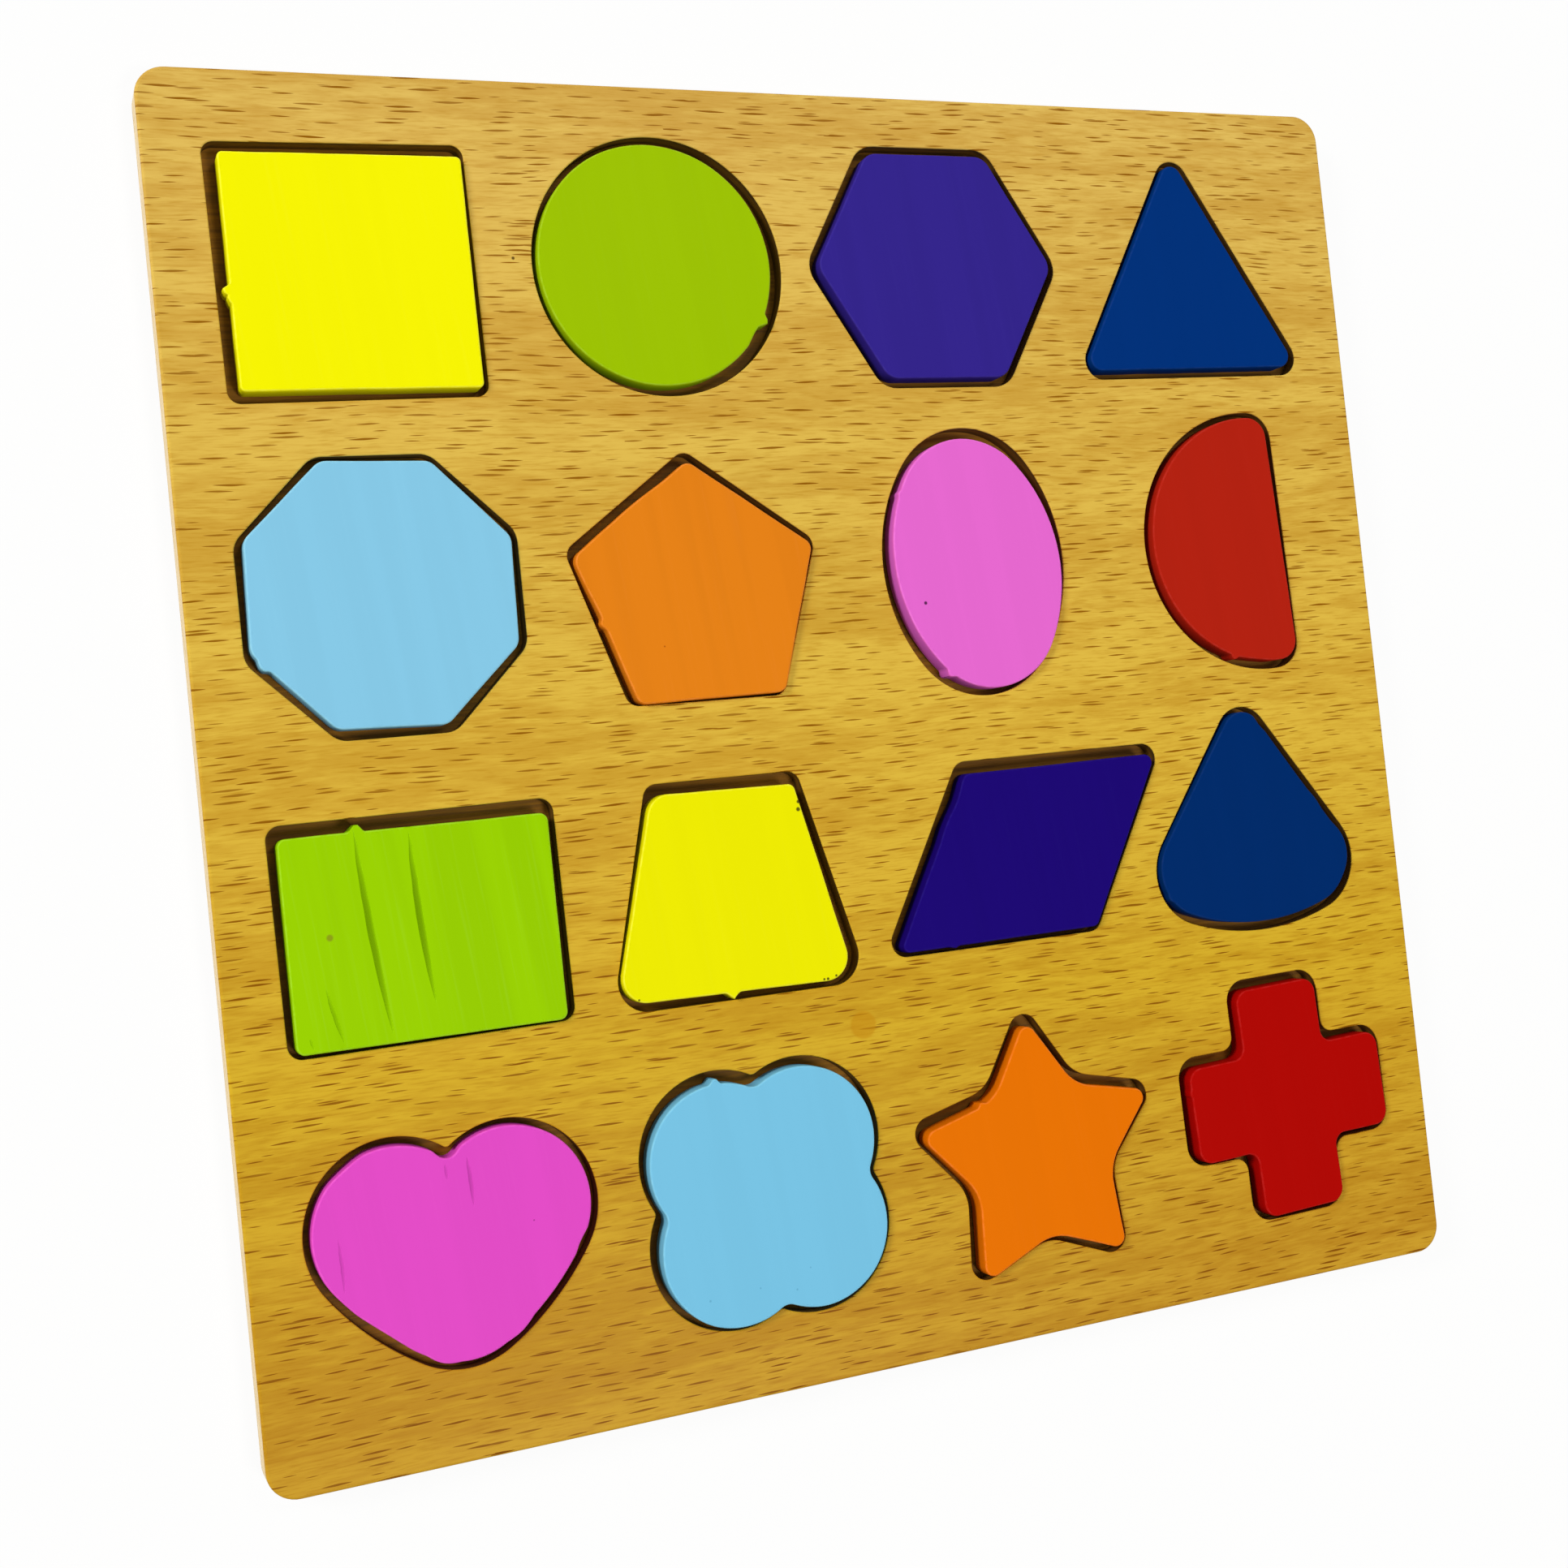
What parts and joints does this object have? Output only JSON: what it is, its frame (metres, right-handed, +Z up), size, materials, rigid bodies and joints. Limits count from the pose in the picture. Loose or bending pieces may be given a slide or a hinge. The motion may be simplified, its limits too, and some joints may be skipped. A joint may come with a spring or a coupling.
{
  "type": "shape puzzle",
  "caption": "Square wooden board puzzle with recesses in rows, each holding a loose painted wooden geometric shape that lifts straight out.",
  "frame": {"origin": "centre of the board's underside", "axes": "+Z up out of the board's face, +X along a row of shapes to the right, +Y from the lowest row to the highest"},
  "size_m": [0.225, 0.225, 0.007],
  "materials": {
    "backing": "raw, sanded",
    "beech_print": "beech grain under satin varnish",
    "yellow_paint": "painted, satin",
    "lime_paint": "painted, satin",
    "purple_paint": "painted, satin",
    "navy_paint": "painted, satin",
    "sky_paint": "painted, satin",
    "orange_paint": "painted, satin",
    "pink_paint": "painted, satin",
    "red_paint": "painted, satin",
    "violet_paint": "painted, satin"
  },
  "bodies": {
    "board": {"backing_board": "backing", "top_panel": "beech_print"},
    "square": {"square_piece": "yellow_paint"},
    "circle": {"circle_piece": "lime_paint"},
    "hexagon": {"hexagon_piece": "purple_paint"},
    "triangle": {"triangle_piece": "navy_paint"},
    "octagon": {"octagon_piece": "sky_paint"},
    "pentagon": {"pentagon_piece": "orange_paint"},
    "oval": {"oval_piece": "pink_paint"},
    "half_moon": {"half_moon_piece": "red_paint"},
    "rectangle": {"rectangle_piece": "lime_paint"},
    "trapezoid": {"trapezoid_piece": "yellow_paint"},
    "parallelogram": {"parallelogram_piece": "violet_paint"},
    "fan": {"fan_piece": "navy_paint"},
    "heart": {"heart_piece": "pink_paint"},
    "clover": {"clover_piece": "sky_paint"},
    "star": {"star_piece": "orange_paint"},
    "cross": {"cross_piece": "red_paint"}
  },
  "joints": [
    {"name": "square_lift", "type": "slide", "parent": "board", "child": "square", "axis": [0, 0, 1], "range_m": [0, 0.03]},
    {"name": "circle_lift", "type": "slide", "parent": "board", "child": "circle", "axis": [0, 0, 1], "range_m": [0, 0.03]},
    {"name": "hexagon_lift", "type": "slide", "parent": "board", "child": "hexagon", "axis": [0, 0, 1], "range_m": [0, 0.03]},
    {"name": "triangle_lift", "type": "slide", "parent": "board", "child": "triangle", "axis": [0, 0, 1], "range_m": [0, 0.03]},
    {"name": "octagon_lift", "type": "slide", "parent": "board", "child": "octagon", "axis": [0, 0, 1], "range_m": [0, 0.03]},
    {"name": "pentagon_lift", "type": "slide", "parent": "board", "child": "pentagon", "axis": [0, 0, 1], "range_m": [0, 0.03]},
    {"name": "oval_lift", "type": "slide", "parent": "board", "child": "oval", "axis": [0, 0, 1], "range_m": [0, 0.03]},
    {"name": "half_moon_lift", "type": "slide", "parent": "board", "child": "half_moon", "axis": [0, 0, 1], "range_m": [0, 0.03]},
    {"name": "rectangle_lift", "type": "slide", "parent": "board", "child": "rectangle", "axis": [0, 0, 1], "range_m": [0, 0.03]},
    {"name": "trapezoid_lift", "type": "slide", "parent": "board", "child": "trapezoid", "axis": [0, 0, 1], "range_m": [0, 0.03]},
    {"name": "parallelogram_lift", "type": "slide", "parent": "board", "child": "parallelogram", "axis": [0, 0, 1], "range_m": [0, 0.03]},
    {"name": "fan_lift", "type": "slide", "parent": "board", "child": "fan", "axis": [0, 0, 1], "range_m": [0, 0.03]},
    {"name": "heart_lift", "type": "slide", "parent": "board", "child": "heart", "axis": [0, 0, 1], "range_m": [0, 0.03]},
    {"name": "clover_lift", "type": "slide", "parent": "board", "child": "clover", "axis": [0, 0, 1], "range_m": [0, 0.03]},
    {"name": "star_lift", "type": "slide", "parent": "board", "child": "star", "axis": [0, 0, 1], "range_m": [0, 0.03]},
    {"name": "cross_lift", "type": "slide", "parent": "board", "child": "cross", "axis": [0, 0, 1], "range_m": [0, 0.03]}
  ]
}
